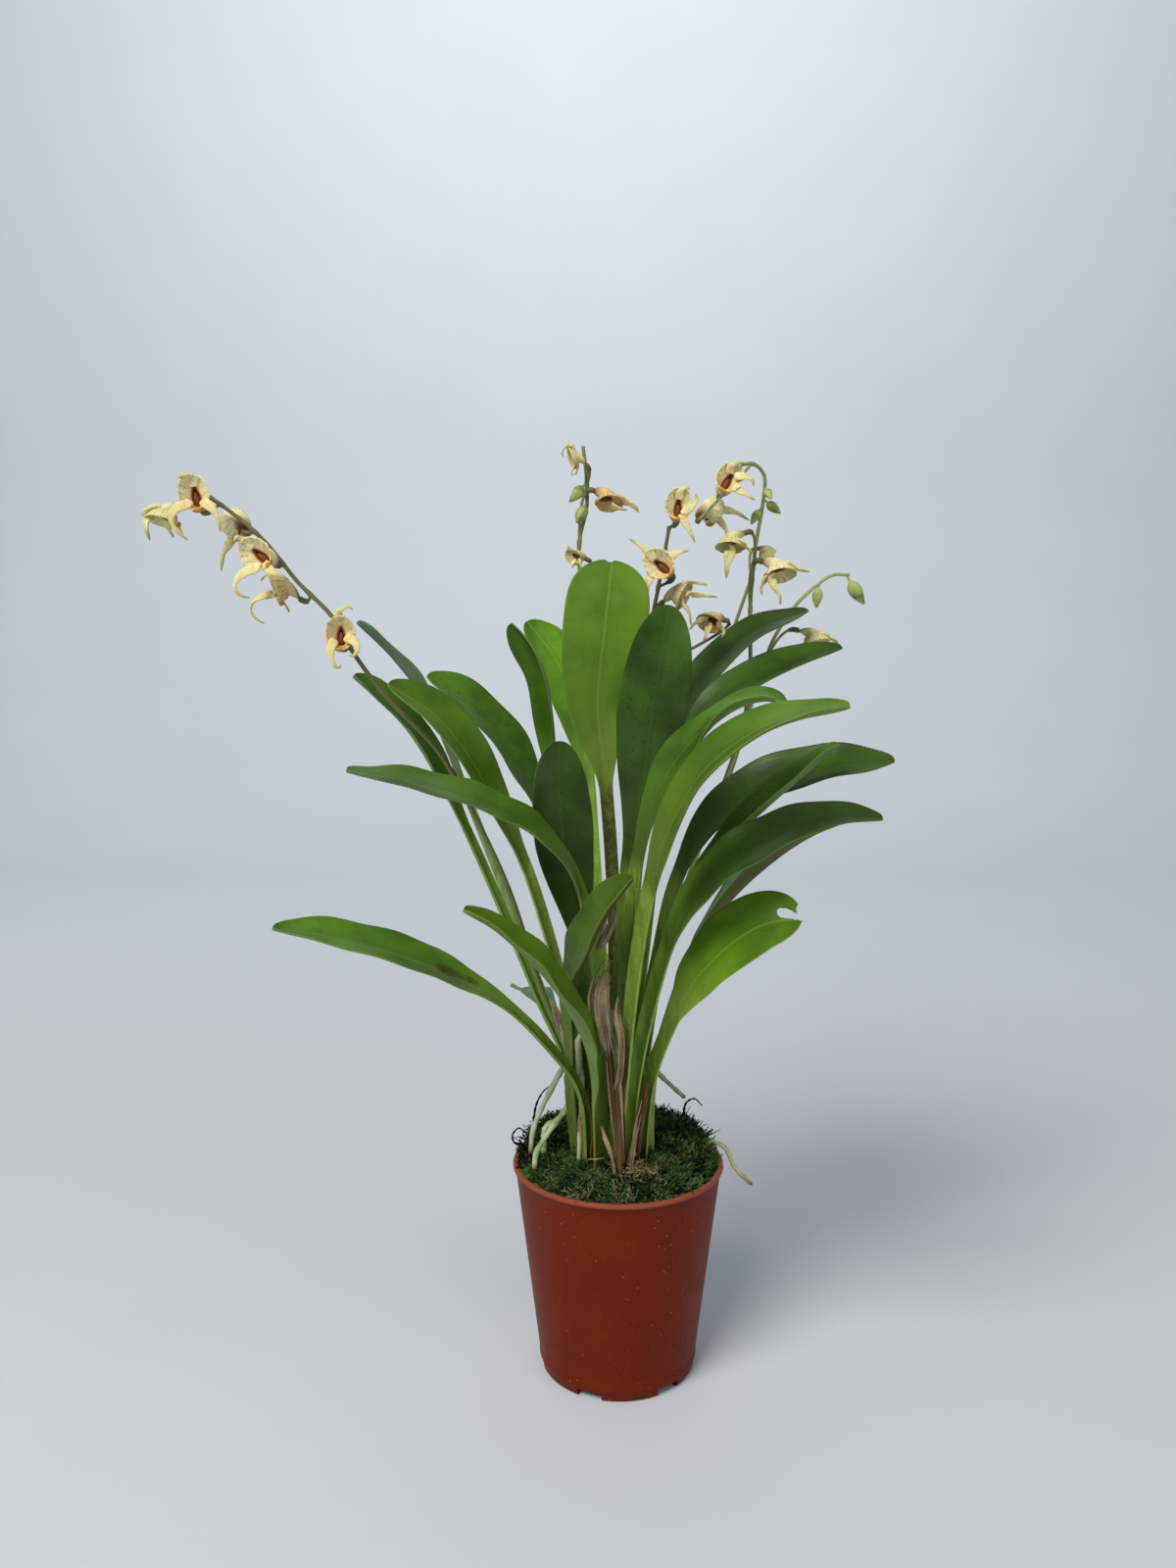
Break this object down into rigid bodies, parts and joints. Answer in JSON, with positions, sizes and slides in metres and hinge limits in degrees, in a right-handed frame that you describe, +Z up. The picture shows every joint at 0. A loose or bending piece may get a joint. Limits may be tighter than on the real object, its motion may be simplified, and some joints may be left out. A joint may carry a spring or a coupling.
{
  "type": "potted orchid",
  "caption": "Clump of strap-shaped leathery leaves and thin flower stems with small tailed blooms, in moss in a small round plastic pot.",
  "frame": {"origin": "centre of the pot's flat base, on the surface that the pot stands on", "axes": "+Z up along the pot's axis, +Y to the plant's back, +X to the right as the plant is seen from the front"},
  "size_m": [0.2102, 0.1484, 0.2621],
  "materials": {
    "pot": "satin, slightly dusty terracotta-coloured polypropylene",
    "potting_mix": "dull, crumbled bark and fibre",
    "moss": "dull, fine tufted moss with dry flecks",
    "rhizome": "dull, fibrous",
    "leaf_bright": "satin, leathery fresh leaf with a pale midrib",
    "leaf_middle": "satin, leathery leaf",
    "leaf_dark": "satin, leathery dark leaf with fine dark spots",
    "leaf_grey": "matt grey-green underside of a leaf",
    "leaf_brown": "satin, leathery leaf with brownish patches",
    "flower_stem": "satin, thin brown-green flower stem",
    "petal": "soft, cream and yellow-green petal with purple-brown specks",
    "air_root": "matt, chalky grey-green root",
    "dry_sheath": "dry, papery, fibrous sheath"
  },
  "bodies": {
    "root": {"flower_centre_low": "petal", "flower_centre_side": "petal", "flower_centre_top": "petal", "flower_far_right": "petal", "flower_left_1": "petal", "flower_left_2": "petal", "flower_left_3": "petal", "flower_left_4": "petal", "flower_left_5": "petal", "flower_left_6": "petal", "flower_mid_right_2": "petal", "flower_mid_right_3": "petal", "flower_mid_right_4": "petal", "flower_mid_right_top": "petal", "flower_right_2": "petal", "flower_right_3": "petal", "flower_right_4": "petal", "flower_right_5": "petal", "flower_right_top": "petal", "leaf_back_left_small": "leaf_grey", "leaf_centre_back_narrow": "leaf_middle", "leaf_centre_back_upright": "leaf_middle", "leaf_centre_notched": "leaf_bright", "leaf_front_dark_upright": "leaf_dark", "leaf_front_left_low": "leaf_bright", "leaf_front_short": "leaf_brown", "leaf_front_tall_dark": "leaf_dark", "leaf_left_back_grey": "leaf_grey", "leaf_left_bright": "leaf_bright", "leaf_left_dark_broad": "leaf_dark", "leaf_left_dark_narrow": "leaf_dark", "leaf_left_long_front": "leaf_middle", "leaf_left_long_low": "leaf_middle", "leaf_right_back_grey": "leaf_grey", "leaf_right_bitten": "leaf_bright", "leaf_right_brown_under": "leaf_brown", "leaf_right_curled": "leaf_middle", "leaf_right_dark_back": "leaf_dark", "leaf_right_far": "leaf_dark", "leaf_right_folded": "leaf_middle", "leaf_right_long_front": "leaf_bright", "leaf_right_middle": "leaf_middle", "leaf_right_upper_blunt": "leaf_middle", "moss": "moss", "pot": "pot", "potting_mix": "potting_mix", "rhizome": "rhizome", "root_left_branched": "air_root", "root_left_thin": "air_root", "root_over_rim": "air_root", "root_right_air": "air_root", "sheath_brown": "dry_sheath", "stem_centre": "flower_stem", "stem_far_right": "flower_stem", "stem_left": "flower_stem", "stem_mid_right": "flower_stem", "stem_right": "flower_stem", "stem_right_bare": "flower_stem"}
  },
  "joints": []
}
